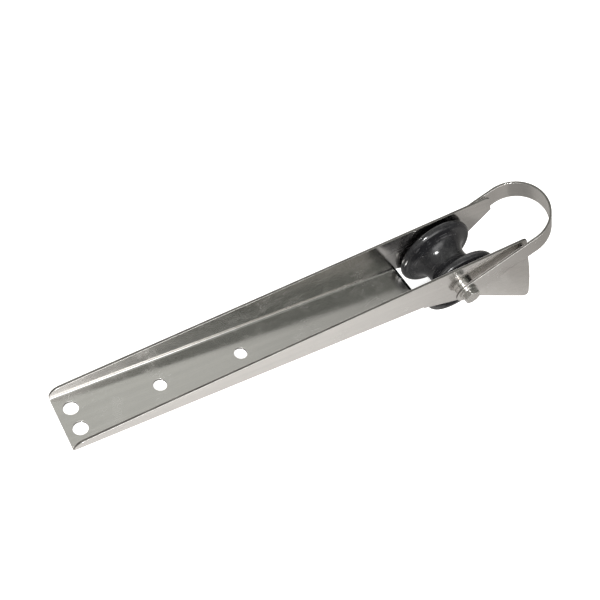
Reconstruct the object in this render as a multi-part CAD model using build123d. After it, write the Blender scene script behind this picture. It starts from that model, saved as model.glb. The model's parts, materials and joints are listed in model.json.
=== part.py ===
from build123d import *
import os
from math import cos, radians, sin, tan

os.makedirs("parts", exist_ok=True)

# A bow roller for a small boat, in millimetres. The origin is midway between the two rear bolt
# holes, on the underside of the floor. +X runs forward to the roller, +Z is up, and the bolt's
# head is on the -Y side.

# Channel: one bent sheet of stainless steel
sheet = 2.0
outer_width = 47.0  # across the underside
wall_lean_deg = 3.0  # each wall leans outwards
bend_outer_radius = 4.0
rear_edge_x = -10.5
floor_front_x = 288.0
wall_height_rear = 10.0
wall_rise = 0.106  # rise of the wall's top edge for each millimetre forward
wall_rear_corner_radius = 9.0
rear_hole_spacing = 17.5
rear_hole_radius = 5.4
centre_hole_x = (63.5, 129.5)
centre_hole_radius = 5.0
cheek_drop_x = 330.0  # from here forward the cheek's lower edge is level
cheek_bottom_z = -9.5
cheek_step_z = 1.0  # lower edge of the cheek where the floor ends
cheek_drop_radius = 50.0
front_edge = ((375.5, 51.0), (386.0, 25.0), (392.0, -9.5))  # x and z of a bowed edge, top to bottom
nose_radius = 6.0
ear_corner_radius = 4.5

# Ears: the lower front corner of each cheek, folded outwards about a slanted line
fold_point = (364.8, 15.9)
fold_slope_deg = 47.8
ear_angle_deg = 38.0
fold_inner_radius = 2.0

# Axle: an M8 bolt, its washers and a self-locking nut
axle_x = 325.5
axle_z = 12.0
shank_radius = 4.0
hex_across_flats = 13.0
head_height = 5.3
hex_tip_ratio = 0.96  # radius of a hexagon's flat end face against its half width
hex_ease_slope = 1.7  # outward run of the cone that eases the corners, for each millimetre back
nut_hex_height = 6.2
nut_height = 8.0
nut_collar_radius = 5.7
nut_collar_wall = 0.9
nut_collar_rounding = 0.8
nut_lip = 0.5
thread_clearance = 0.02
bolt_length = 75.0
bolt_tip_chamfer = 0.8
washer_radius = 8.0
washer_thickness = 1.6
axle_hole_clearance = 0.05
side_play = 0.1

# Roller and its sleeve
roller_radius = 33.5
waist_radius = 18.0
roller_length = 41.4
groove_half_width = 14.2
rim_inner_rounding = 4.2
rim_outer_rounding = 2.2
sleeve_radius = 6.0
hub_radius = 11.0
recess_radius = 29.0
recess_depth = 3.0
recess_draft = 1.5
thrust_washer_radius = 10.0

# Bail: a flat strip bent to a U, its ends hinged on the bolt outside the cheeks
strip_thickness = 2.0
strip_width = 22.0
bail_half_gap = 28.4
bail_reach = 97.0  # from the axle to the inside of the bend
bail_rise_deg = 27.7
spacer_radius = 8.5

half_outer = outer_width / 2
half_inner = half_outer - sheet
lean = radians(wall_lean_deg)
hinge_radius = shank_radius + axle_hole_clearance


def wall_top(x):
    """Height of the wall's straight top edge at x."""
    return wall_height_rear + wall_rise * (x - rear_edge_x)


def wall_outside(z):
    """Distance from the middle plane to a wall's outer face at height z."""
    return half_outer + z * tan(lean)


def rod(radius, y_from, y_to):
    """A cylinder about the axle between two Y positions."""
    return Pos(axle_x, (y_from + y_to) / 2, axle_z) * Rot(90, 0, 0) * Cylinder(radius, y_to - y_from)


def ring(radius, bore, y_from, y_to):
    """A round washer or sleeve about the axle between two Y positions."""
    return rod(radius, y_from, y_to) - rod(bore, y_from, y_to)


def corner(sketch, x, y):
    """The sketch's corner nearest to a point of its own plane."""
    return sketch.vertices().sort_by_distance((x, y, 0))[0]


def floor_and_walls():
    """The U section behind the roller, cut to the walls' sloping outline."""
    tall = wall_top(floor_front_x) + 10
    inset = sheet / cos(lean)
    outer_top = wall_outside(tall)
    outer_low = wall_outside(0)
    inner_top = outer_top - inset
    inner_low = wall_outside(sheet) - inset
    outside = Polygon((-outer_low, 0), (outer_low, 0), (outer_top, tall), (-outer_top, tall), align=None)
    inside = Polygon((-inner_low, sheet), (inner_low, sheet), (inner_top, tall), (-inner_top, tall), align=None)
    outside = fillet(outside.vertices().group_by(Axis.Y)[0], bend_outer_radius)
    inside = fillet(inside.vertices().group_by(Axis.Y)[0], bend_outer_radius - sheet)
    section = Plane.YZ.offset(rear_edge_x) * (outside - inside)
    trough = extrude(section, floor_front_x - rear_edge_x)
    outline = make_face(
        Polyline(
            (rear_edge_x, 0),
            (floor_front_x, 0),
            (floor_front_x, wall_top(floor_front_x)),
            (rear_edge_x, wall_top(rear_edge_x)),
            close=True,
        )
    )
    outline = fillet(corner(outline, rear_edge_x, wall_top(rear_edge_x)), wall_rear_corner_radius)
    return trough & extrude(Plane.XZ * outline, outer_width, both=True)


def cheek_outline():
    """Flat outline of one cheek, ear included, ahead of the floor."""
    nose, bow, toe = front_edge
    top_rear = (floor_front_x, wall_top(floor_front_x))
    top_front = (nose[0], wall_top(nose[0]))
    drop = (cheek_drop_x, cheek_bottom_z)
    edge = ThreePointArc(top_front, bow, toe)
    rest = Polyline(toe, drop, (floor_front_x, cheek_step_z), top_rear, top_front)
    outline = make_face(edge + rest)
    outline = fillet(corner(outline, *top_front), nose_radius)
    outline = fillet(corner(outline, *toe), ear_corner_radius)
    return fillet(corner(outline, *drop), cheek_drop_radius)


def cheek():
    """The cheek on the -Y side: a flat plate, a bend and the ear folded outwards."""
    slope = radians(fold_slope_deg)
    along = Vector(cos(slope), 0, sin(slope))
    towards_ear = Vector(sin(slope), 0, -cos(slope))
    foot = Vector(fold_point[0], -half_inner, fold_point[1])
    plate = extrude(Plane.XZ.offset(half_inner) * cheek_outline(), sheet)
    beyond = Plane(origin=foot, x_dir=along, z_dir=towards_ear)
    ear_side = extrude(beyond * Rectangle(400, 100), 200)
    flat, ear = plate - ear_side, plate & ear_side
    fold_axis = Axis(foot + Vector(0, -sheet - fold_inner_radius, 0), along * -1)
    root = ear.faces().sort_by(Axis(foot, towards_ear))[0]
    bend = revolve(root, fold_axis, ear_angle_deg)
    upright = flat + bend + ear.rotate(fold_axis, ear_angle_deg)
    return upright.rotate(Axis((0, -half_outer, 0), (1, 0, 0)), wall_lean_deg)


def channel():
    body = floor_and_walls()
    near = cheek()
    body += near + mirror(near, Plane.XZ)
    body -= rod(hinge_radius, -outer_width, outer_width)
    for side in (-1, 1):
        body -= Pos(0, side * rear_hole_spacing / 2, 0) * Cylinder(rear_hole_radius, 4 * sheet)
    for x in centre_hole_x:
        body -= Pos(x, 0, 0) * Cylinder(centre_hole_radius, 4 * sheet)
    return body


def roller():
    """A hollow-ended roller with two rounded flanges and a deep round waist."""
    half = roller_length / 2
    groove_floor = ThreePointArc(
        (roller_radius, -groove_half_width), (waist_radius, 0), (roller_radius, groove_half_width)
    )
    end = [
        (roller_radius, half),
        (recess_radius, half),
        (recess_radius - recess_draft, half - recess_depth),
        (hub_radius + recess_draft, half - recess_depth),
        (hub_radius, half),
        (sleeve_radius, half),
    ]
    other_end = [(r, -y) for r, y in reversed(end)]
    rest = Polyline(groove_floor @ 1, *end, *other_end, groove_floor @ 0)
    profile = make_face(groove_floor + rest)
    for side in (-1, 1):
        profile = fillet(corner(profile, roller_radius, side * half), rim_outer_rounding)
        profile = fillet(corner(profile, roller_radius, side * groove_half_width), rim_inner_rounding)
    return Pos(axle_x, 0, axle_z) * revolve(profile, Axis.Y)


def hexagon(y_from, y_to):
    """A hexagon bar about the axle with its faced end eased at the corners."""
    height = y_to - y_from
    bar = extrude(RegularPolygon(hex_across_flats / 2, 6, major_radius=False), height / 2, both=True)
    return Pos(axle_x, (y_from + y_to) / 2, axle_z) * Rot(90, 0, 0) * bar


def eased_cone(y_end, direction):
    """The turned cone that takes the corners off a hexagon's end face at y_end."""
    tip_radius = hex_across_flats / 2 * hex_tip_ratio
    length = hex_across_flats
    cone = Cone(tip_radius + length * hex_ease_slope, tip_radius, length)
    turn = Rot(90, 0, 0) if direction < 0 else Rot(-90, 0, 0)
    return Pos(axle_x, y_end - direction * length / 2, axle_z) * turn * cone


def outer_stack():
    """Y distances, outwards from a cheek: the spacer's end, both faces of the strip, both of the washer."""
    leg_inner = bail_half_gap
    spacer_end = leg_inner - side_play
    leg_outer = leg_inner + strip_thickness
    washer_inner = leg_outer + side_play
    return spacer_end, leg_inner, leg_outer, washer_inner, washer_inner + washer_thickness


def axle_bolt():
    washer_outer = outer_stack()[-1]
    head_end = -washer_outer - head_height
    head = hexagon(head_end, -washer_outer) & eased_cone(head_end, -1)
    shank = Cylinder(shank_radius, bolt_length)
    shank = chamfer(shank.edges().sort_by(Axis.Z)[0], bolt_tip_chamfer)
    shank = Rot(90, 0, 0) * shank
    return head + Pos(axle_x, -washer_outer + bolt_length / 2, axle_z) * shank


def nut_ring_ends():
    """Y distances of the two faces of the locking ring inside the nut's collar."""
    start = outer_stack()[-1]
    return start + nut_hex_height - nut_collar_wall, start + nut_height - nut_lip


def axle_nut():
    start = outer_stack()[-1]
    hex_end = start + nut_hex_height
    end = start + nut_height
    ring_inner, ring_outer = nut_ring_ends()
    hexed = hexagon(start, hex_end) & eased_cone(hex_end, 1)
    collar = rod(nut_collar_radius, hex_end, end)
    collar = fillet(collar.edges().sort_by(Axis.Y)[-1], nut_collar_rounding)
    nut = hexed + collar - rod(shank_radius + thread_clearance, start, end)
    return nut - rod(nut_collar_radius - nut_collar_wall, ring_inner, ring_outer)


def nut_locking_ring():
    ring_inner, ring_outer = nut_ring_ends()
    return ring(nut_collar_radius - nut_collar_wall, shank_radius, ring_inner, ring_outer)


def bail():
    """The strip, bent in its own plane first, then hung on the axle and raised to its rest angle."""
    straight = bail_reach - bail_half_gap
    outer_radius = bail_half_gap + strip_thickness
    loop = Pos(straight / 2 - strip_width / 2, 0) * Rectangle(straight + strip_width, 2 * outer_radius)
    loop += Pos(straight, 0) * Circle(outer_radius)
    opening = Pos(straight / 2 - strip_width, 0) * Rectangle(straight + 2 * strip_width, 2 * bail_half_gap)
    opening += Pos(straight, 0) * Circle(bail_half_gap)
    strip = extrude(loop - opening, strip_width / 2, both=True)
    end_shape = Circle(strip_width / 2) + Pos(bail_reach, 0) * Rectangle(2 * bail_reach, strip_width)
    strip &= extrude(Plane.XZ * end_shape, 2 * outer_radius, both=True)
    strip -= Rot(90, 0, 0) * Cylinder(hinge_radius, 4 * outer_radius)
    return Pos(axle_x, 0, axle_z) * Rot(0, -bail_rise_deg, 0) * strip


def spacer():
    """The collar between the left wall and the bail, its inner end cut to the wall's lean."""
    collar = ring(spacer_radius, hinge_radius, half_inner, outer_stack()[0])
    block = Box(4 * spacer_radius, outer_width, 4 * outer_width)
    block = Pos(axle_x, half_outer - outer_width / 2, 0) * block
    return collar - block.rotate(Axis((0, half_outer, 0), (1, 0, 0)), -wall_lean_deg)


def both_sides(left):
    """A piece on the left (+Y) side and its mirror copy on the right."""
    return {"left": left, "right": mirror(left, Plane.XZ)}


def write_parts():
    washer_inner, washer_outer = outer_stack()[-2:]
    half = roller_length / 2
    spacers = both_sides(spacer())
    thrust = both_sides(ring(thrust_washer_radius, hinge_radius, half + side_play, half_inner))
    washers = both_sides(ring(washer_radius, hinge_radius, washer_inner, washer_outer))
    pieces = {
        "channel": channel(),
        "roller": roller(),
        "roller_bush": ring(sleeve_radius, hinge_radius, -half, half),
        "axle_bolt": axle_bolt(),
        "axle_nut": axle_nut(),
        "nut_locking_ring": nut_locking_ring(),
        "head_washer": washers["right"],
        "nut_washer": washers["left"],
        "spacer_left": spacers["left"],
        "spacer_right": spacers["right"],
        "thrust_washer_left": thrust["left"],
        "thrust_washer_right": thrust["right"],
        "bail": bail(),
    }
    for node, shape in pieces.items():
        export_step(shape, f"parts/{node}.step")


write_parts()
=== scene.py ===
import json
from math import cos, pi, radians, sin

import bmesh
import bpy
from mathutils import Matrix, Vector
from mathutils.bvhtree import BVHTree


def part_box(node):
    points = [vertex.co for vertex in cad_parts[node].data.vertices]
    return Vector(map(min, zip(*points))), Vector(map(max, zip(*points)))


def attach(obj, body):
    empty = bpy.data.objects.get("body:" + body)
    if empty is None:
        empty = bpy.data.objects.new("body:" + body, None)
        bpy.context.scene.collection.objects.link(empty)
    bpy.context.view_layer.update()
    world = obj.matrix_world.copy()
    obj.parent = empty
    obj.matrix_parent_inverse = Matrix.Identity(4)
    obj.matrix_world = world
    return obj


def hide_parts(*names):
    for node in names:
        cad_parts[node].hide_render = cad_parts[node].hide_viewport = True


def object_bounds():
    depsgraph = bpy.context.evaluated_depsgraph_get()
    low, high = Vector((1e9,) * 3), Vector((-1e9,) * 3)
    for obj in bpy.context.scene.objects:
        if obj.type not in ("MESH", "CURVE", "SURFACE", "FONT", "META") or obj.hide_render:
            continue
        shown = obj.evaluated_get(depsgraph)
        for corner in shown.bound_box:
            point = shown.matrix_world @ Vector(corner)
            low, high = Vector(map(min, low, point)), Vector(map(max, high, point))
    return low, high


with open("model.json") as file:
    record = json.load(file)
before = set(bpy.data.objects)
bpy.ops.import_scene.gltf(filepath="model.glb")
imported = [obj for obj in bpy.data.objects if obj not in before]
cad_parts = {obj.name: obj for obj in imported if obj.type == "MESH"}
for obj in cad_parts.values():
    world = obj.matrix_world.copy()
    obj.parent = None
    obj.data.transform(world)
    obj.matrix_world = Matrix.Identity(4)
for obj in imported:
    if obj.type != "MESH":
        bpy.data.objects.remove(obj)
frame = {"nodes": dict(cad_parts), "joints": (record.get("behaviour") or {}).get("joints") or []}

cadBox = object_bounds()
cadLow = Vector(cadBox[0])
nodes = frame["nodes"]
axle = Vector(frame["joints"][0]["pos_m"])
scene = bpy.context.scene
print("frame loaded:", len(nodes), "parts")

view = {
    "lens": 52.15,
    "distance": 0.6651,
    "azimuth": -42.08,  # 0 looks along +Y, -90 along +X
    "elevation": 50.98,
    "roll": 14.42,
    "target": (0.1850, 0.0117, 0.0243),
}


def addCamera(settings):
    data = bpy.data.cameras.new("view")
    data.lens = settings["lens"]
    data.sensor_width = 36.0
    data.clip_start, data.clip_end = 0.01, 50.0
    camera = bpy.data.objects.new("view", data)
    scene.collection.objects.link(camera)
    turn = (
        Matrix.Rotation(radians(settings["azimuth"]), 4, "Z")
        @ Matrix.Rotation(radians(90 - settings["elevation"]), 4, "X")
        @ Matrix.Rotation(radians(settings["roll"]), 4, "Z")
    )
    back = turn @ Vector((0, 0, settings["distance"]))
    camera.matrix_world = Matrix.Translation(Vector(settings["target"]) + back) @ turn
    scene.camera = camera


addCamera(view)
print("camera placed")


# a new node with its settings, then its input values or links
def put(tree, kind, settings=None, inputs=None):
    node = tree.nodes.new(kind)
    for name, value in (settings or {}).items():
        setattr(node, name, value)
    for name, value in (inputs or {}).items():
        socket = node.inputs[name]
        if isinstance(value, bpy.types.NodeSocket):
            tree.links.new(value, socket)
        else:
            socket.default_value = value
    return node


def calc(tree, operation, first, second=0.0, clamp=False):
    settings = {"operation": operation, "use_clamp": clamp}
    return put(tree, "ShaderNodeMath", settings, {0: first, 1: second}).outputs[0]


def plus(tree, first, second):
    return calc(tree, "ADD", first, second)


def times(tree, first, second, clamp=False):
    return calc(tree, "MULTIPLY", first, second, clamp)


def vectorCalc(tree, operation, first, second):
    return put(tree, "ShaderNodeVectorMath", {"operation": operation}, {0: first, 1: second}).outputs[0]


def split(tree, vector):
    return put(tree, "ShaderNodeSeparateXYZ", None, {0: vector}).outputs


# value goes from low to high as the input goes from start to end
def ramp(tree, value, start, end, low=0.0, high=1.0):
    inputs = {"Value": value, "From Min": start, "From Max": end, "To Min": low, "To Max": high}
    return put(tree, "ShaderNodeMapRange", {"interpolation_type": "SMOOTHSTEP"}, inputs).outputs["Result"]


def blendColor(tree, amount, first, second):
    node = put(tree, "ShaderNodeMix", {"data_type": "RGBA"}, {"Factor": amount})
    for socket, value in ((node.inputs[6], first), (node.inputs[7], second)):
        if isinstance(value, bpy.types.NodeSocket):
            tree.links.new(value, socket)
        else:
            socket.default_value = (*value, 1)
    return node.outputs[2]


def noise(tree, vector, scale, detail=3.0, roughness=0.5):
    inputs = {"Vector": vector, "Scale": scale, "Detail": detail, "Roughness": roughness}
    return put(tree, "ShaderNodeTexNoise", None, inputs).outputs[0]


def newMaterial(name):
    material = bpy.data.materials.new(name)
    material.use_nodes = True
    return material, material.node_tree, material.node_tree.nodes["Principled BSDF"]


studio = {
    "floorSize": 8.0,
    "floorColor": (0.435, 0.42, 0.408),
    "floorGlow": 0.24,  # lifts the floor's shade
    "glowLost": 0.7,  # share of that lift that goes where the floor is dark
    "floorRoughness": 0.9,
    "floorDrop": 0.0002,  # how far the floor lies under the lowest point
    "paperGrain": 90.0,
    "paperShare": 0.06,
    "shadeColor": (0.20, 0.187, 0.175),
    "shadeFrom": 0.18,  # the floor turns darker ahead of here, as steel sees it
    "shadeTo": 0.55,
    "sideFrom": 0.10,  # and to both sides of the object
    "sideTo": 0.36,
    "floorSeen": (0.80, 0.795, 0.785),  # the paper-white floor that the camera sees
    "glowSeen": 0.72,
    "backdrop": (1.0, 1.0, 1.0),
    "skyLow": (0.36, 0.35, 0.335),
    "skyLowTo": 0.35,  # the sky is even above this height
    "skyBase": (0.60, 0.605, 0.57),
    "skyStrength": 1.0,
}
skyPatches = (
    # direction, degrees to its edge, degrees to its even middle, colour
    ((-0.05, -0.82, 0.57), 30.0, 16.0, (1.75, 1.73, 1.72)),  # white screen on the near side
    ((0.42, 0.80, 0.42), 30.0, 14.0, (1.50, 1.50, 1.46)),  # white screen on the far side
    ((0.75, 0.35, 0.56), 34.0, 8.0, (0.38, 0.38, 0.36)),  # dim wall ahead
    ((0.87, -0.25, 0.42), 24.0, 12.0, (0.20, 0.20, 0.19)),
    ((0.52, -0.44, 0.73), 27.0, 17.0, (0.17, 0.18, 0.165)),  # dark room ahead
)
lamps = (
    # name, place, aim, width, height, power
    ("key", (-0.40, -0.57, 0.94), (0.3, 0.0, 0.0), 0.16, 0.16, 15.5),
    ("screen", (0.1, -1.5, 0.9), (0.2, 0.0, 0.0), 1.2, 0.9, 6.0),
)


def addFloor(settings):
    size = settings["floorSize"] / 2
    low = cadLow.z - settings["floorDrop"]
    mesh = bpy.data.meshes.new("floor")
    corners = [(-size, -size, low), (size, -size, low), (size, size, low), (-size, size, low)]
    mesh.from_pydata(corners, [], [(0, 1, 2, 3)])
    floor = bpy.data.objects.new("floor", mesh)
    scene.collection.objects.link(floor)
    material, tree, shader = newMaterial("paleFloor")
    shader.inputs["Roughness"].default_value = settings["floorRoughness"]
    seen = put(tree, "ShaderNodeLightPath").outputs["Is Camera Ray"]
    place = put(tree, "ShaderNodeTexCoord").outputs["Object"]
    forward, aside, _ = split(tree, place)
    shade = ramp(tree, forward, settings["shadeFrom"], settings["shadeTo"])
    sideShade = ramp(tree, calc(tree, "ABSOLUTE", aside), settings["sideFrom"], settings["sideTo"])
    shade = calc(tree, "MAXIMUM", shade, sideShade)
    paper = ramp(tree, noise(tree, place, settings["paperGrain"], 5.0), 0.3, 0.7, 0.0, settings["paperShare"])
    tint = blendColor(tree, paper, settings["floorColor"], settings["shadeColor"])
    tint = blendColor(tree, shade, tint, settings["shadeColor"])
    tree.links.new(blendColor(tree, seen, tint, settings["floorSeen"]), shader.inputs["Base Color"])
    glow = calc(tree, "SUBTRACT", 1.0, times(tree, shade, settings["glowLost"]))
    glow = times(tree, glow, settings["floorGlow"])
    glow = calc(tree, "MAXIMUM", glow, times(tree, seen, settings["glowSeen"]))
    shader.inputs["Emission Color"].default_value = (1, 1, 1, 1)
    tree.links.new(glow, shader.inputs["Emission Strength"])
    mesh.materials.append(material)


def addSky(settings, patches):
    world = bpy.data.worlds.new("studio")
    scene.world = world
    world.use_nodes = True
    tree = world.node_tree
    background = tree.nodes["Background"]
    direction = put(tree, "ShaderNodeTexCoord").outputs["Generated"]
    climb = ramp(tree, split(tree, direction)["Z"], 0.0, settings["skyLowTo"])
    color = blendColor(tree, climb, settings["skyLow"], settings["skyBase"])
    for aim, edge, middle, tint in patches:
        inputs = {0: direction, 1: Vector(aim).normalized()}
        dot = put(tree, "ShaderNodeVectorMath", {"operation": "DOT_PRODUCT"}, inputs).outputs["Value"]
        share = ramp(tree, dot, cos(radians(edge)), cos(radians(middle)))
        color = blendColor(tree, share, color, tint)
    seen = put(tree, "ShaderNodeLightPath").outputs["Is Camera Ray"]
    tree.links.new(blendColor(tree, seen, color, settings["backdrop"]), background.inputs["Color"])
    background.inputs["Strength"].default_value = settings["skyStrength"]


def addLamp(name, place, aim, width, height, power):
    data = bpy.data.lights.new(name, "AREA")
    data.shape = "RECTANGLE"
    data.size, data.size_y = width, height
    data.energy = power
    lamp = bpy.data.objects.new(name, data)
    scene.collection.objects.link(lamp)
    lamp.location = place
    lamp.rotation_euler = (Vector(aim) - Vector(place)).to_track_quat("-Z", "Y").to_euler()


addFloor(studio)
addSky(studio, skyPatches)
for lampSetting in lamps:
    addLamp(*lampSetting)
scene.view_settings.view_transform = "Standard"
print("floor, sky and lamps made")


def newGroup(name, inputs, outputs):
    group = bpy.data.node_groups.new(name, "ShaderNodeTree")
    for socketName, kind, value in inputs:
        socket = group.interface.new_socket(name=socketName, in_out="INPUT", socket_type="NodeSocket" + kind)
        if value is not None:
            socket.default_value = value
    for socketName, kind in outputs:
        group.interface.new_socket(name=socketName, in_out="OUTPUT", socket_type="NodeSocket" + kind)
    return group, group.nodes.new("NodeGroupInput").outputs, group.nodes.new("NodeGroupOutput").inputs


# fine polishing lines that run along the first axis of the vector
def makeGrainGroup():
    group, given, result = newGroup(
        "polishGrain",
        (("Vector", "Vector", None), ("Lines", "Float", 3000.0), ("Length", "Float", 40.0)),
        (("Height", "Float"), ("Streak", "Float")),
    )
    shrink = calc(group, "DIVIDE", 1.0, given["Length"])
    stretch = put(group, "ShaderNodeCombineXYZ", None, {"X": shrink, "Y": 1.0, "Z": 1.0}).outputs[0]
    along = vectorCalc(group, "MULTIPLY", given["Vector"], stretch)
    group.links.new(noise(group, along, given["Lines"], 4.0, 0.6), result["Height"])
    wide = noise(group, along, times(group, given["Lines"], 0.12), 3.0, 0.55)
    group.links.new(ramp(group, wide, 0.32, 0.68), result["Streak"])
    return group


# soft marks left by hands and cloths
def makeSmudgeGroup():
    group, given, result = newGroup(
        "handlingMarks",
        (("Vector", "Vector", None), ("Size", "Float", 0.02)),
        (("Mask", "Float"), ("Cloud", "Float")),
    )
    scale = calc(group, "DIVIDE", 1.0, given["Size"])
    inputs = {"Vector": given["Vector"], "Scale": scale, "Detail": 2.0}
    bend = put(group, "ShaderNodeTexNoise", None, inputs).outputs[1]
    inputs = {0: bend, "Scale": times(group, given["Size"], 0.6)}
    moved = put(group, "ShaderNodeVectorMath", {"operation": "SCALE"}, inputs).outputs[0]
    place = vectorCalc(group, "ADD", given["Vector"], moved)
    cloud = noise(group, place, scale, 5.0, 0.6)
    group.links.new(ramp(group, cloud, 0.46, 0.68), result["Mask"])
    group.links.new(ramp(group, cloud, 0.25, 0.75), result["Cloud"])
    return group


# sparse thin scratches in two directions
def makeScratchGroup():
    group, given, result = newGroup(
        "hairlines",
        (("Vector", "Vector", None), ("Scale", "Float", 260.0), ("Amount", "Float", 0.5)),
        (("Mask", "Float"),),
    )
    total = None
    for angle, offset in ((7.0, 0.0), (-24.0, 3.7), (61.0, 9.1)):
        tilt = radians(angle)
        inputs = {"Vector": given["Vector"], "Rotation": (tilt * 0.6, tilt, tilt), "Location": (offset,) * 3}
        turn = put(group, "ShaderNodeMapping", None, inputs).outputs[0]
        thin = vectorCalc(group, "MULTIPLY", turn, (0.035, 1.0, 1.0))  # long along the first axis
        lines = noise(group, thin, given["Scale"], 1.0, 0.4)
        crossing = calc(group, "ABSOLUTE", calc(group, "SUBTRACT", lines, 0.5))
        ridge = ramp(group, crossing, 0.0, 0.010, 1.0, 0.0)
        gate = ramp(group, noise(group, turn, times(group, given["Scale"], 0.12), 1.0), 0.55, 0.65)
        one = times(group, ridge, gate)
        total = one if total is None else calc(group, "MAXIMUM", total, one)
    group.links.new(times(group, total, given["Amount"], True), result["Mask"])
    return group


# rings about the axle, as a lathe or a rubbing washer leaves them
def makeTurningGroup():
    group, given, result = newGroup(
        "turningRings",
        (("Vector", "Vector", None), ("Centre", "Vector", None), ("Rings", "Float", 2500.0)),
        (("Height", "Float"), ("Round", "Vector")),
    )
    x, y, z = split(group, vectorCalc(group, "SUBTRACT", given["Vector"], given["Centre"]))
    radius = calc(group, "SQRT", plus(group, times(group, x, x), times(group, z, z)))
    drawnOut = times(group, calc(group, "ARCTAN2", x, z), 0.0002)  # hardly changes round a ring
    place = put(group, "ShaderNodeCombineXYZ", None, {"X": drawnOut, "Y": radius, "Z": y}).outputs[0]
    group.links.new(noise(group, place, given["Rings"], 3.0, 0.6), result["Height"])
    group.links.new(place, result["Round"])
    return group


# wear on rounded edges: the piece's own edge mark, broken up
def makeWearGroup():
    group, given, result = newGroup(
        "edgeWear",
        (("Vector", "Vector", None), ("Edge", "Float", 0.0), ("Patch", "Float", 0.006)),
        (("Mask", "Float"),),
    )
    patches = noise(group, given["Vector"], calc(group, "DIVIDE", 1.0, given["Patch"]), 4.0, 0.65)
    broken = ramp(group, patches, 0.35, 0.62, 0.25, 1.0)
    group.links.new(times(group, given["Edge"], broken), result["Mask"])
    return group


# dust that settles on faces that look up
def makeDustGroup():
    group, given, result = newGroup(
        "settledDust",
        (("Vector", "Vector", None), ("Scale", "Float", 300.0), ("Amount", "Float", 0.3)),
        (("Mask", "Float"),),
    )
    normal = put(group, "ShaderNodeNewGeometry").outputs["Normal"]
    flat = ramp(group, split(group, normal)["Z"], 0.2, 1.0)
    specks = ramp(group, noise(group, given["Vector"], given["Scale"], 6.0, 0.7), 0.42, 0.72)
    dust = times(group, flat, specks)
    group.links.new(times(group, dust, given["Amount"], True), result["Mask"])
    return group


grainGroup = makeGrainGroup()
smudgeGroup = makeSmudgeGroup()
scratchGroup = makeScratchGroup()
turningGroup = makeTurningGroup()
wearGroup = makeWearGroup()
dustGroup = makeDustGroup()
print("shared shader groups made")


def useGroup(tree, group, **inputs):
    node = tree.nodes.new("ShaderNodeGroup")
    node.node_tree = group
    for name, value in inputs.items():
        socket = node.inputs[name]
        if isinstance(value, bpy.types.NodeSocket):
            tree.links.new(value, socket)
        else:
            socket.default_value = value
    return node.outputs


def bumped(tree, shader, height, distance, strength=1.0):
    bump = put(tree, "ShaderNodeBump", None, {"Height": height, "Distance": distance, "Strength": strength})
    tree.links.new(bump.outputs["Normal"], shader.inputs["Normal"])


channelSteelLook = {
    "color": (0.69, 0.675, 0.655),
    "dull": (0.60, 0.59, 0.575),
    # sheared edges: their own duller tone, darkened further by a painted dark reflection
    "cutColor": (0.13, 0.122, 0.115),
    "cutDull": (0.27, 0.26, 0.245),
    "roughness": 0.16,
    "cutRoughness": 0.42,
    "lines": 2600.0,
    "length": 60.0,
    "depth": 0.000004,
    "streakShare": 0.45,  # how far the polishing streaks dull the colour
    "cloudShare": 0.18,
    "smudge": 0.10,  # how much rougher a hand mark is
    "smudgeSize": 0.022,
    "scratch": 0.6,
    "scratchScale": 240.0,
    "scratchColor": (0.80, 0.79, 0.77),
    "scratchShare": 0.35,
    "scratchRoughness": 0.12,
    "wearColor": (0.78, 0.77, 0.75),
    "cutLines": 1500.0,
    "cutStreakShare": 0.6,
}
bailSteelLook = dict(channelSteelLook, color=(0.67, 0.655, 0.635), roughness=0.18, lines=3000.0, smudge=0.08)
turnedSteelLook = {
    "color": (0.62, 0.61, 0.59),
    "dull": (0.47, 0.46, 0.445),
    "wearColor": (0.80, 0.79, 0.77),
    "roughness": 0.20,
    "stainRoughness": 0.16,
    "scratchRoughness": 0.1,
    "rings": 2600.0,
    "depth": 0.000006,
    "stainSize": 0.0035,
    "stainShare": 0.75,
    "scratch": 0.7,
    "scratchScale": 700.0,
    "wearPatch": 0.002,
}
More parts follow.
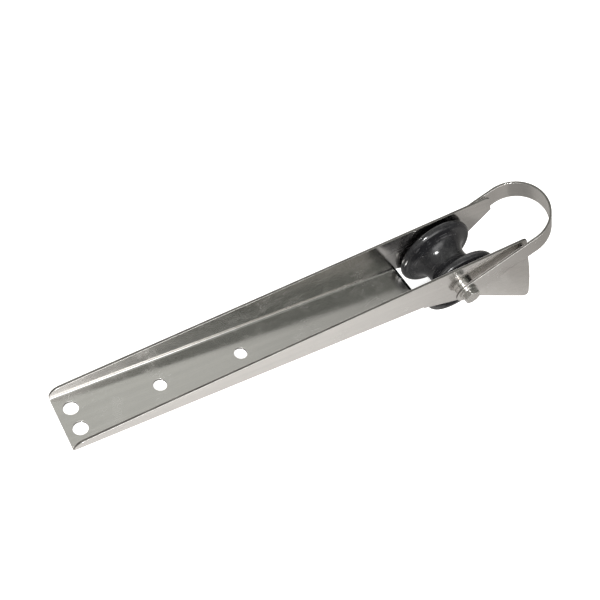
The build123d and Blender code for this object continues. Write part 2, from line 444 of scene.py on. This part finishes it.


# polished sheet: lines along the sheet, hand marks, hairlines, and duller sheared edges whose colour also
# holds a painted dark reflection
def makeSheetSteel(name, look, place):
    material, tree, shader = newMaterial(name)
    if place == "strip":
        vector = put(tree, "ShaderNodeUVMap", {"uv_map": "strip"}).outputs[0]
    else:
        vector = put(tree, "ShaderNodeTexCoord").outputs["Object"]
    cut = put(tree, "ShaderNodeAttribute", {"attribute_name": "cut"}).outputs["Fac"]
    edge = put(tree, "ShaderNodeAttribute", {"attribute_name": "edge"}).outputs["Fac"]
    grain = useGroup(tree, grainGroup, Vector=vector, Lines=look["lines"], Length=look["length"])
    smudge = useGroup(tree, smudgeGroup, Vector=vector, Size=look["smudgeSize"])
    values = {"Scale": look["scratchScale"], "Amount": look["scratch"]}
    scratch = useGroup(tree, scratchGroup, Vector=vector, **values)["Mask"]
    wear = useGroup(tree, wearGroup, Vector=vector, Edge=edge)["Mask"]
    sheared = useGroup(tree, grainGroup, Vector=vector, Lines=look["cutLines"], Length=3.0)

    tone = blendColor(tree, times(tree, grain["Streak"], look["streakShare"]), look["color"], look["dull"])
    tone = blendColor(tree, times(tree, smudge["Cloud"], look["cloudShare"]), tone, look["dull"])
    tone = blendColor(tree, times(tree, scratch, look["scratchShare"]), tone, look["scratchColor"])
    cutStreak = times(tree, sheared["Streak"], look["cutStreakShare"])
    # the sheared edges take their duller streaked tone together with a painted dark reflection
    tone = blendColor(tree, cut, tone, blendColor(tree, cutStreak, look["cutColor"], look["cutDull"]))
    tone = blendColor(tree, wear, tone, look["wearColor"])
    tree.links.new(tone, shader.inputs["Base Color"])
    shader.inputs["Metallic"].default_value = 1.0

    gloss = plus(tree, times(tree, grain["Height"], 0.10), look["roughness"] - 0.05)
    gloss = plus(tree, gloss, times(tree, smudge["Mask"], look["smudge"]))
    gloss = plus(tree, gloss, times(tree, scratch, look["scratchRoughness"]))
    gloss = plus(tree, gloss, times(tree, cut, look["cutRoughness"] - look["roughness"]))
    tree.links.new(gloss, shader.inputs["Roughness"])
    height = plus(tree, grain["Height"], times(tree, scratch, -1.6))  # scratches are cut in
    height = plus(tree, height, times(tree, times(tree, cut, sheared["Height"]), 3.0))
    bumped(tree, shader, height, look["depth"])
    return material


# turned or stamped steel: rings about the axle, stains in patches, bright corners
def makeTurnedSteel(name, look):
    material, tree, shader = newMaterial(name)
    vector = put(tree, "ShaderNodeTexCoord").outputs["Object"]
    edge = put(tree, "ShaderNodeAttribute", {"attribute_name": "edge"}).outputs["Fac"]
    rings = useGroup(tree, turningGroup, Vector=vector, Centre=axle, Rings=look["rings"])
    stain = useGroup(tree, smudgeGroup, Vector=vector, Size=look["stainSize"])
    values = {"Scale": look["scratchScale"], "Amount": look["scratch"]}
    scratch = useGroup(tree, scratchGroup, Vector=vector, **values)["Mask"]
    wear = useGroup(tree, wearGroup, Vector=vector, Edge=edge, Patch=look["wearPatch"])["Mask"]
    tone = blendColor(tree, times(tree, stain["Cloud"], look["stainShare"]), look["color"], look["dull"])
    tree.links.new(blendColor(tree, wear, tone, look["wearColor"]), shader.inputs["Base Color"])
    shader.inputs["Metallic"].default_value = 1.0
    gloss = plus(tree, times(tree, stain["Mask"], look["stainRoughness"]), look["roughness"])
    gloss = plus(tree, gloss, times(tree, scratch, look["scratchRoughness"]))
    tree.links.new(gloss, shader.inputs["Roughness"])
    bumped(tree, shader, calc(tree, "SUBTRACT", rings["Height"], scratch), look["depth"])
    return material


rubberLook = {
    "color": (0.013, 0.013, 0.0145),
    "scuffColor": (0.075, 0.073, 0.075),
    "dustColor": (0.20, 0.195, 0.19),
    "roughness": 0.13,
    "scuffRoughness": 0.42,
    "grainScale": 1400.0,
    "grainDepth": 0.00002,
    "rings": 420.0,  # rubbed rings
    "patchSize": 0.013,
    "scuffShare": 0.8,
    "scratch": 0.9,
    "scratchScale": 330.0,
    "scratchShare": 0.5,
    "dust": 0.10,
    "dustScale": 420.0,
    "dustRoughness": 0.4,
}


# moulded black rubber: fine skin grain, rubbed rings where the chain runs, dust on top
def makeRubber(name, look):
    material, tree, shader = newMaterial(name)
    vector = put(tree, "ShaderNodeTexCoord").outputs["Object"]
    rings = useGroup(tree, turningGroup, Vector=vector, Centre=axle, Rings=look["rings"])
    patches = useGroup(tree, smudgeGroup, Vector=vector, Size=look["patchSize"])
    scuffLines = ramp(tree, rings["Height"], 0.53, 0.66)
    scuff = times(tree, scuffLines, ramp(tree, patches["Cloud"], 0.45, 0.85))
    values = {"Scale": look["scratchScale"], "Amount": look["scratch"]}
    scratch = useGroup(tree, scratchGroup, Vector=vector, **values)["Mask"]
    values = {"Scale": look["dustScale"], "Amount": look["dust"]}
    dust = useGroup(tree, dustGroup, Vector=vector, **values)["Mask"]
    tone = blendColor(tree, times(tree, scuff, look["scuffShare"]), look["color"], look["scuffColor"])
    tone = blendColor(tree, times(tree, scratch, look["scratchShare"]), tone, look["scuffColor"])
    tone = blendColor(tree, dust, tone, look["dustColor"])
    tree.links.new(tone, shader.inputs["Base Color"])
    gloss = ramp(tree, patches["Cloud"], 0.0, 1.0, look["roughness"], look["roughness"] + 0.12)
    rougher = look["scuffRoughness"] - look["roughness"]
    gloss = plus(tree, gloss, times(tree, scuff, rougher))
    tree.links.new(plus(tree, gloss, times(tree, dust, look["dustRoughness"])), shader.inputs["Roughness"])
    skin = noise(tree, vector, look["grainScale"], 4.0, 0.6)
    height = calc(tree, "SUBTRACT", skin, times(tree, plus(tree, scuff, scratch), 0.8))
    bumped(tree, shader, height, look["grainDepth"])
    return material


bushNylonLook = {
    "color": (0.74, 0.72, 0.66),
    "stain": (0.50, 0.47, 0.40),
    "stainShare": 0.6,
    "stainSize": 0.004,
    "roughness": 0.38,
    "rings": 1900.0,
    "depth": 0.000008,
}
ringNylonLook = dict(bushNylonLook, color=(0.05, 0.13, 0.42), stain=(0.03, 0.07, 0.22), roughness=0.33)


def makeNylon(name, look):
    material, tree, shader = newMaterial(name)
    vector = put(tree, "ShaderNodeTexCoord").outputs["Object"]
    rings = useGroup(tree, turningGroup, Vector=vector, Centre=axle, Rings=look["rings"])
    marks = useGroup(tree, smudgeGroup, Vector=vector, Size=look["stainSize"])
    tone = blendColor(tree, times(tree, marks["Mask"], look["stainShare"]), look["color"], look["stain"])
    tree.links.new(tone, shader.inputs["Base Color"])
    gloss = ramp(tree, marks["Cloud"], 0.0, 1.0, look["roughness"], look["roughness"] + 0.15)
    tree.links.new(gloss, shader.inputs["Roughness"])
    bumped(tree, shader, rings["Height"], look["depth"])
    return material


channelSteel = makeSheetSteel("channelSteel", channelSteelLook, "object")
bailSteel = makeSheetSteel("bailSteel", bailSteelLook, "strip")
boltSteel = makeTurnedSteel("boltSteel", dict(turnedSteelLook, dull=(0.40, 0.39, 0.375), roughness=0.24))
washerSteel = makeTurnedSteel("washerSteel", turnedSteelLook)
spacerSteel = makeTurnedSteel("spacerSteel", dict(turnedSteelLook, color=(0.66, 0.65, 0.63), roughness=0.14))
blackRubber = makeRubber("blackRubber", rubberLook)
bushNylon = makeNylon("bushNylon", bushNylonLook)
ringNylon = makeNylon("ringNylon", ringNylonLook)
print("materials made")

steelShape = {
    "bevel": 0.00025,
    "sheetLimit": 0.0024,  # thicker than this behind a face means that it is a cut edge
    "sharpAngle": 28.0,
    "tinyStep": 0.00008,  # steps smaller than this between wall and cheek are closed up
}


# a merged copy of a part's mesh, with its flat faces joined again
def mergedCopy(nodeName):
    shape = bmesh.new()
    shape.from_mesh(nodes[nodeName].data)
    bmesh.ops.remove_doubles(shape, verts=shape.verts[:], dist=0.000002)
    bmesh.ops.dissolve_limit(
        shape,
        angle_limit=radians(0.6),
        use_dissolve_boundaries=False,
        verts=shape.verts[:],
        edges=shape.edges[:],
    )
    shape.normal_update()
    return shape


# slot 2 for every face with more steel behind it than the sheet's thickness
def markCutFaces(shape, limit):
    solid = BVHTree.FromBMesh(shape)
    widest = {}
    for corners in shape.calc_loop_triangles():
        points = [corner.vert.co for corner in corners]
        area = (points[1] - points[0]).cross(points[2] - points[0]).length
        face = corners[0].face
        if area > widest.get(face, (0.0, None))[0]:
            widest[face] = (area, sum(points, Vector()) / 3)
    for face, (_, middle) in widest.items():
        inward = -face.normal
        hit = solid.ray_cast(middle + inward * 0.00001, inward)
        face.material_index = 0 if hit[3] is not None and hit[3] < limit else 2


def toObject(shape, name):
    mesh = bpy.data.meshes.new(name)
    shape.to_mesh(mesh)
    shape.free()
    piece = bpy.data.objects.new(name, mesh)
    scene.collection.objects.link(piece)
    return piece


# applies the piece's modifiers and hands back the same object with a plain mesh
def bake(piece):
    bpy.context.view_layer.update()
    evaluated = piece.evaluated_get(bpy.context.evaluated_depsgraph_get())
    mesh = bpy.data.meshes.new_from_object(evaluated)
    piece.modifiers.clear()
    piece.data = mesh
    mesh.name = piece.name
    return mesh


def roundEdges(piece, width, angle, segments=2):
    for polygon in piece.data.polygons:
        polygon.use_smooth = True
    bevel = piece.modifiers.new("rounding", "BEVEL")
    bevel.width = width
    bevel.segments = segments
    bevel.limit_method = "ANGLE"
    bevel.angle_limit = radians(angle)
    bevel.use_clamp_overlap = False
    bevel.material = 1
    evened = piece.modifiers.new("evenShading", "WEIGHTED_NORMAL")
    evened.weight = 60
    evened.keep_sharp = True
    mesh = bake(piece)
    kinds = [polygon.material_index for polygon in mesh.polygons]
    for name, kind in (("edge", 1), ("cut", 2)):
        marks = mesh.attributes.new(name, "FLOAT", "CORNER")
        values = [0.0] * len(mesh.loops)
        for polygon, found in zip(mesh.polygons, kinds):
            if found == kind:
                for loop in polygon.loop_indices:
                    values[loop] = 1.0
        marks.data.foreach_set("value", values)
    for polygon in mesh.polygons:
        polygon.material_index = 0
    return mesh


# any corner that the rounding threw off the steel goes back onto it
def pullBack(piece, nodeName, reach):
    part = bmesh.new()
    part.from_mesh(nodes[nodeName].data)
    surface = BVHTree.FromBMesh(part)
    part.free()
    for vertex in piece.data.vertices:
        place, _, _, distance = surface.find_nearest(vertex.co)
        if distance > reach:
            vertex.co = place


def finishPiece(piece, material, body, slot, *stoodFor):
    piece.data.materials.clear()
    piece.data.materials.append(material)
    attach(piece, body)
    if stoodFor:
        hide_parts(*stoodFor)


def makeChannel(settings):
    shape = mergedCopy("channel")
    bmesh.ops.remove_doubles(shape, verts=shape.verts[:], dist=settings["tinyStep"])
    markCutFaces(shape, settings["sheetLimit"])
    piece = toObject(shape, "channelSheet")
    for _ in range(3):
        piece.data.materials.append(channelSteel)
    roundEdges(piece, settings["bevel"], settings["sharpAngle"])
    pullBack(piece, "channel", settings["bevel"] * 0.8)
    finishPiece(piece, channelSteel, "channel", "channel_steel", "channel")


makeChannel(steelShape)
print("channel rounded")

bailShape = {
    "halfGap": 0.0284,
    "reach": 0.097,
    "riseDeg": 27.7,
}


# distance along the strip from the bolt's leg end, and distance across it, at a point of the bail
def stripPlace(point, settings):
    rise = radians(settings["riseDeg"])
    offset = point - axle
    forward = offset.x * cos(rise) + offset.z * sin(rise)
    across = offset.z * cos(rise) - offset.x * sin(rise)
    straight = settings["reach"] - settings["halfGap"]
    if forward <= straight:
        return (forward if offset.y < 0 else 2 * straight + pi * settings["halfGap"] - forward), across
    turn = Vector((0, -1)).angle_signed(Vector((forward - straight, offset.y)))
    return straight + settings["halfGap"] * abs(turn), across


def makeBail(settings, steel):
    shape = mergedCopy("bail")
    markCutFaces(shape, steel["sheetLimit"])
    piece = toObject(shape, "bailStrip")
    for _ in range(3):
        piece.data.materials.append(bailSteel)
    mesh = roundEdges(piece, steel["bevel"], steel["sharpAngle"], 3)
    layer = mesh.uv_layers.new(name="strip")
    for loop in mesh.loops:
        layer.data[loop.index].uv = stripPlace(mesh.vertices[loop.vertex_index].co, settings)
    finishPiece(piece, bailSteel, "bail", "bail_steel", "bail")


makeBail(bailShape, steelShape)
print("bail rounded")

smallParts = (
    # node, piece, material, slot, rounding
    ("axle_nut", "nylonLockNut", boltSteel, "bolt_steel", 0.00022),
    ("head_washer", "headWasher", washerSteel, "washer_steel", 0.00025),
    ("nut_washer", "nutWasher", washerSteel, "washer_steel", 0.00025),
    ("spacer_left", "leftSpacer", spacerSteel, "spacer_steel", 0.0004),
    ("spacer_right", "rightSpacer", spacerSteel, "spacer_steel", 0.0004),
)
for nodeName, pieceName, material, slotName, rounding in smallParts:
    small = toObject(mergedCopy(nodeName), pieceName)
    for _ in range(2):
        small.data.materials.append(material)
    roundEdges(small, rounding, 28.0)
    finishPiece(small, material, "channel", slotName, nodeName)
print("washers, spacers and nut rounded")

rollerShape = {
    "groove": 0.0142,  # half width of the waist's arc at the rims
    "waist": 0.0180,
    "waistSteps": 36,
    "innerRounding": 0.0042,
    "outerRounding": 0.0022,
    "hub": 0.0110,
    "recess": 0.0290,
    "recessDepth": 0.0030,
    "recessDraft": 0.0015,
    "bore": 0.0060,
    "seam": 0.00010,  # height of the mould's parting line
    "stepsAround": 160,
}


# corners of the roller's section as (radius, distance along the axle, rounding)
def rollerSection(settings):
    low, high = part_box("roller")
    radius, half = (high.z - low.z) / 2, (high.y - low.y) / 2
    waist, groove = settings["waist"], settings["groove"]
    rise = radius - waist
    arcRadius = (groove**2 + rise**2) / (2 * rise)
    section = [(radius, -half, settings["outerRounding"]), (radius, -groove, settings["innerRounding"])]
    steps = settings["waistSteps"]
    for step in range(1, steps):
        along = -groove + 2 * groove * step / steps
        depth = waist + arcRadius - (arcRadius**2 - along**2) ** 0.5
        section.append((depth, along, 0.0))
    middle = len(section) // 2 + 1
    section[middle:middle + 1] = [
        (waist + 0.00001, -0.00035, 0.0),
        (waist + settings["seam"], -0.00012, 0.0),
        (waist + settings["seam"], 0.00012, 0.0),
        (waist + 0.00001, 0.00035, 0.0),
    ]
    section += [(radius, groove, settings["innerRounding"]), (radius, half, settings["outerRounding"])]
    inner = [
        (settings["recess"], half, 0.0006),
        (settings["recess"] - settings["recessDraft"], half - settings["recessDepth"], 0.001),
        (settings["hub"] + settings["recessDraft"], half - settings["recessDepth"], 0.001),
        (settings["hub"], half, 0.0004),
        (settings["bore"], half, 0.0),
    ]
    return section + inner + [(radius, -along, rounding) for radius, along, rounding in reversed(inner)]


# a tree that turns a closed section (x is the radius, y runs along the axle) about the axle
def makeLatheTree():
    tree = bpy.data.node_groups.new("lathe", "GeometryNodeTree")
    sockets = tree.interface
    sockets.new_socket(name="Section", in_out="INPUT", socket_type="NodeSocketGeometry")
    named = (("Centre", "Vector"), ("Steps Around", "Int"), ("Arc Steps", "Int"), ("Material", "Material"))
    for name, kind in named:
        sockets.new_socket(name=name, in_out="INPUT", socket_type="NodeSocket" + kind)
    sockets.new_socket(name="Turned", in_out="OUTPUT", socket_type="NodeSocketGeometry")
    given = tree.nodes.new("NodeGroupInput").outputs
    result = tree.nodes.new("NodeGroupOutput").inputs
    curve = put(tree, "GeometryNodeMeshToCurve", None, {"Mesh": given["Section"]}).outputs[0]
    kind = {"data_type": "FLOAT"}
    rounding = put(tree, "GeometryNodeInputNamedAttribute", kind, {"Name": "rounding"}).outputs[0]
    inputs = {"Curve": curve, "Radius": rounding, "Limit Radius": True, "Count": given["Arc Steps"]}
    rounded = put(tree, "GeometryNodeFilletCurve", {"mode": "POLY"}, inputs).outputs[0]
    outline = put(tree, "GeometryNodeCurveToMesh", None, {"Curve": rounded}).outputs[0]
    count = put(tree, "GeometryNodeAttributeDomainSize", None, {"Geometry": outline}).outputs["Point Count"]
    columns = plus(tree, count, 1.0)
    rows = plus(tree, given["Steps Around"], 1.0)
    grid = put(tree, "GeometryNodeMeshGrid", None, {"Vertices X": columns, "Vertices Y": rows}).outputs[0]
    index = put(tree, "GeometryNodeInputIndex").outputs[0]
    column = calc(tree, "FLOOR", calc(tree, "DIVIDE", plus(tree, index, 0.5), rows))
    row = calc(tree, "SUBTRACT", index, times(tree, column, rows))
    point = calc(tree, "FLOORED_MODULO", column, count)
    position = put(tree, "GeometryNodeInputPosition").outputs[0]
    inputs = {"Geometry": outline, "Value": position, "Index": point}
    sampled = put(tree, "GeometryNodeSampleIndex", {"data_type": "FLOAT_VECTOR"}, inputs).outputs[0]
    angle = times(tree, calc(tree, "DIVIDE", row, given["Steps Around"]), 2 * pi)
    inputs = {"Vector": sampled, "Axis": (0.0, 1.0, 0.0), "Angle": angle}
    turned = put(tree, "ShaderNodeVectorRotate", {"rotation_type": "AXIS_ANGLE"}, inputs).outputs[0]
    placed = vectorCalc(tree, "ADD", turned, given["Centre"])
    body = put(tree, "GeometryNodeSetPosition", None, {"Geometry": grid, "Position": placed}).outputs[0]
    body = put(tree, "GeometryNodeMergeByDistance", None, {"Geometry": body, "Distance": 0.000001}).outputs[0]
    body = put(tree, "GeometryNodeSetShadeSmooth", None, {"Geometry": body}).outputs[0]
    body = put(tree, "GeometryNodeRealizeInstances", None, {"Geometry": body}).outputs[0]
    inputs = {"Geometry": body, "Material": given["Material"]}
    body = put(tree, "GeometryNodeSetMaterial", None, inputs).outputs[0]
    tree.links.new(body, result["Turned"])
    return tree


# runs a tree on a piece and keeps the plain mesh
def applyTree(piece, tree, **values):
    modifier = piece.modifiers.new(tree.name, "NODES")
    modifier.node_group = tree
    for item in tree.interface.items_tree:
        name = item.name.replace(" ", "")
        if item.in_out == "INPUT" and name in values:
            modifier[item.identifier] = values[name]
    return bake(piece)


def pointOutwards(mesh):
    shape = bmesh.new()
    shape.from_mesh(mesh)
    bmesh.ops.recalc_face_normals(shape, faces=shape.faces[:])
    shape.to_mesh(mesh)
    shape.free()


# an object that holds a closed section, ready for the lathe tree
def sectionObject(name, section):
    mesh = bpy.data.meshes.new(name)
    count = len(section)
    points = [(radius, along, 0) for radius, along, _ in section]
    mesh.from_pydata(points, [(i, (i + 1) % count) for i in range(count)], [])
    roundings = mesh.attributes.new("rounding", "FLOAT", "POINT")
    roundings.data.foreach_set("value", [rounding for _, _, rounding in section])
    piece = bpy.data.objects.new(name, mesh)
    scene.collection.objects.link(piece)
    return piece


def makeRoller(settings, tree):
    piece = sectionObject("rubberRoller", rollerSection(settings))
    applyTree(piece, tree, Centre=axle, StepsAround=settings["stepsAround"], ArcSteps=8, Material=blackRubber)
    pointOutwards(piece.data)
    piece.data.set_sharp_from_angle(angle=radians(50))
    finishPiece(piece, blackRubber, "roller", "roller_rubber", "roller")


latheTree = makeLatheTree()
makeRoller(rollerShape, latheTree)
print("roller turned")

threadShape = {
    "crest": 0.0040,
    "pitch": 0.00125,
    "ridge": 0.00042,  # half width of the thread's ridge
    "sunk": 0.0001,  # how far the ridge is sunk into its core
    "hidden": 0.0030,  # how far the modelled thread starts inside the nut
    "plainEnd": 0.0009,  # the thread stops this far from the tip
    "runOut": 0.35,  # turns
    "chamfer": 0.0006,
    "tipGap": 0.00005,
    "endRadius": 0.0029,
    "endRounding": 0.0002,
    "headRounding": 0.00025,
    "stepsAround": 48,
}


# a ridge that winds along +Y round a centre
def makeThreadTree():
    tree = bpy.data.node_groups.new("thread", "GeometryNodeTree")
    sockets = tree.interface
    sockets.new_socket(name="Core", in_out="INPUT", socket_type="NodeSocketGeometry")
    sockets.new_socket(name="Start", in_out="INPUT", socket_type="NodeSocketVector")
    for name in ("Crest Radius", "Pitch", "Turns", "Ridge"):
        sockets.new_socket(name=name, in_out="INPUT", socket_type="NodeSocketFloat")
    sockets.new_socket(name="Material", in_out="INPUT", socket_type="NodeSocketMaterial")
    sockets.new_socket(name="Threaded", in_out="OUTPUT", socket_type="NodeSocketGeometry")
    given = tree.nodes.new("NodeGroupInput").outputs
    result = tree.nodes.new("NodeGroupOutput").inputs
    radius = calc(tree, "SUBTRACT", given["Crest Radius"], given["Ridge"])
    height = times(tree, given["Pitch"], given["Turns"])
    inputs = {"Rotations": given["Turns"], "Start Radius": radius, "End Radius": radius, "Height": height}
    path = put(tree, "GeometryNodeCurveSpiral", None, {"Resolution": 48, **inputs}).outputs[0]
    path = put(tree, "GeometryNodeSetCurveNormal", {"mode": "Z_UP"}, {"Curve": path}).outputs[0]
    inputs = {"Resolution": 4, "Radius": given["Ridge"]}
    ridge = put(tree, "GeometryNodeCurvePrimitiveCircle", None, inputs).outputs[0]
    inputs = {"Curve": path, "Profile Curve": ridge, "Fill Caps": True}
    winding = put(tree, "GeometryNodeCurveToMesh", None, inputs).outputs[0]
    inputs = {"Geometry": winding, "Translation": given["Start"], "Rotation": (radians(-90), 0.0, 0.0)}
    placed = put(tree, "GeometryNodeTransform", None, inputs).outputs[0]
    both = tree.nodes.new("GeometryNodeJoinGeometry")
    tree.links.new(placed, both.inputs[0])
    tree.links.new(given["Core"], both.inputs[0])
    body = put(tree, "GeometryNodeRealizeInstances", None, {"Geometry": both.outputs[0]}).outputs[0]
    inputs = {"Geometry": body, "Material": given["Material"]}
    body = put(tree, "GeometryNodeSetMaterial", None, inputs).outputs[0]
    tree.links.new(body, result["Threaded"])
    return tree


# the bolt's head and plain shank, cut off inside the nut
def makeHeadAndShank(settings, cutAt):
    shape = mergedCopy("axle_bolt")
    everything = shape.verts[:] + shape.edges[:] + shape.faces[:]
    plane = {"plane_co": (0, cutAt, 0), "plane_no": (0, 1, 0)}
    bmesh.ops.bisect_plane(shape, geom=everything, clear_outer=True, **plane)
    bmesh.ops.holes_fill(shape, edges=[edge for edge in shape.edges if edge.is_boundary])
    piece = toObject(shape, "boltHeadAndShank")
    for _ in range(2):
        piece.data.materials.append(boltSteel)
    roundEdges(piece, settings["headRounding"], 26.0)
    finishPiece(piece, boltSteel, "channel", "bolt_steel", "axle_bolt")


# the bolt's threaded end: a core turned on the axle, with the ridge wound on it
def makeThreadedEnd(settings, tree, threadTree, cutAt):
    root = settings["crest"] - 2 * settings["ridge"] + settings["sunk"]
    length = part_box("axle_bolt")[1].y - cutAt
    tip = length - settings["tipGap"]
    section = [
        (0.0, 0.0, 0.0),
        (root, 0.0, 0.0),
        (root, length - settings["chamfer"], 0.0),
        (settings["endRadius"], tip, settings["endRounding"]),
        (0.0, tip, 0.0),
    ]
    thread = sectionObject("boltThread", section)
    start = Vector((axle.x, cutAt, axle.z))
    values = {"Centre": start, "StepsAround": settings["stepsAround"], "ArcSteps": 3}
    applyTree(thread, tree, Material=boltSteel, **values)
    pointOutwards(thread.data)
    turns = (length - settings["plainEnd"]) / settings["pitch"] - settings["runOut"]
    start.y += settings["ridge"]
    values = {"Start": start, "CrestRadius": settings["crest"], "Pitch": settings["pitch"]}
    applyTree(thread, threadTree, Turns=turns, Ridge=settings["ridge"], Material=boltSteel, **values)
    pointOutwards(thread.data)
    thread.data.set_sharp_from_angle(angle=radians(35))
    finishPiece(thread, boltSteel, "channel", "bolt_steel")


def makeBolt(settings, tree, threadTree):
    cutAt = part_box("axle_nut")[1].y - settings["hidden"]
    makeHeadAndShank(settings, cutAt)
    makeThreadedEnd(settings, tree, threadTree, cutAt)


makeBolt(threadShape, latheTree, makeThreadTree())
print("bolt threaded")

for node, material in (
    ("roller_bush", bushNylon),
    ("nut_locking_ring", ringNylon),
    ("thrust_washer_left", bushNylon),
    ("thrust_washer_right", bushNylon),
):
    mesh = nodes[node].data
    mesh.materials.clear()
    mesh.materials.append(material)
